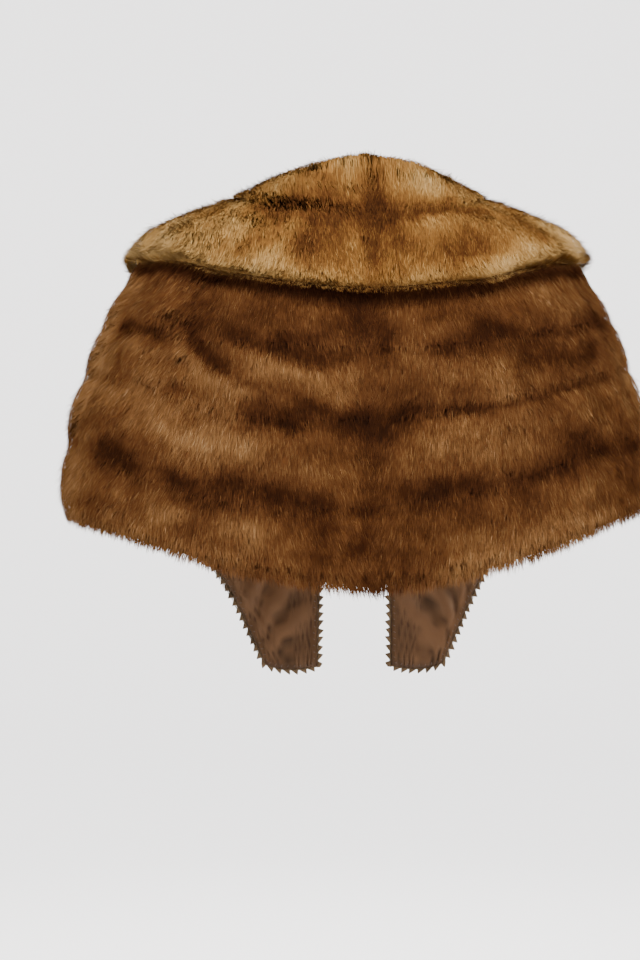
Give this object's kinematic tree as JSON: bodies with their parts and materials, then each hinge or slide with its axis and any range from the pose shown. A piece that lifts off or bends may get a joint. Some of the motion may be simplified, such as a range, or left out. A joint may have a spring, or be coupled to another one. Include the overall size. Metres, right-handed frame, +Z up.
{
  "type": "worn fur cape",
  "caption": "Waist-length fur cape of horizontal pelt rows with a wide fold-over collar, a satin lining and tapered front tabs, hollow as worn.",
  "frame": {"origin": "middle of the neck opening, level with the collar's seam, where the wearer's neck and shoulders hold the cape", "axes": "+X to the wearer's right and along the width, +Y the way the wearer faces, +Z up"},
  "size_m": [0.6109, 0.3345, 0.5396],
  "materials": {
    "body_fur": "dense brown guard hair over paler underwool, nap downwards",
    "collar_fur": "golden brown guard hair with pale tips",
    "lining_satin": "taupe satin with a soft sheen",
    "trim_satin": "taupe ribbon cut in saw teeth"
  },
  "bodies": {
    "root": {"body_row_1_right": "body_fur", "body_row_2_right": "body_fur", "body_row_3_right": "body_fur", "body_row_4_right": "body_fur", "body_row_5_right": "body_fur", "body_row_1_left": "body_fur", "body_row_2_left": "body_fur", "body_row_3_left": "body_fur", "body_row_4_left": "body_fur", "body_row_5_left": "body_fur", "collar_top_row_right": "collar_fur", "collar_low_row_right": "collar_fur", "collar_top_row_left": "collar_fur", "collar_low_row_left": "collar_fur", "lining_right": "lining_satin", "lining_left": "lining_satin", "sawtooth_trim_right": "trim_satin", "sawtooth_trim_left": "trim_satin"}
  },
  "joints": []
}
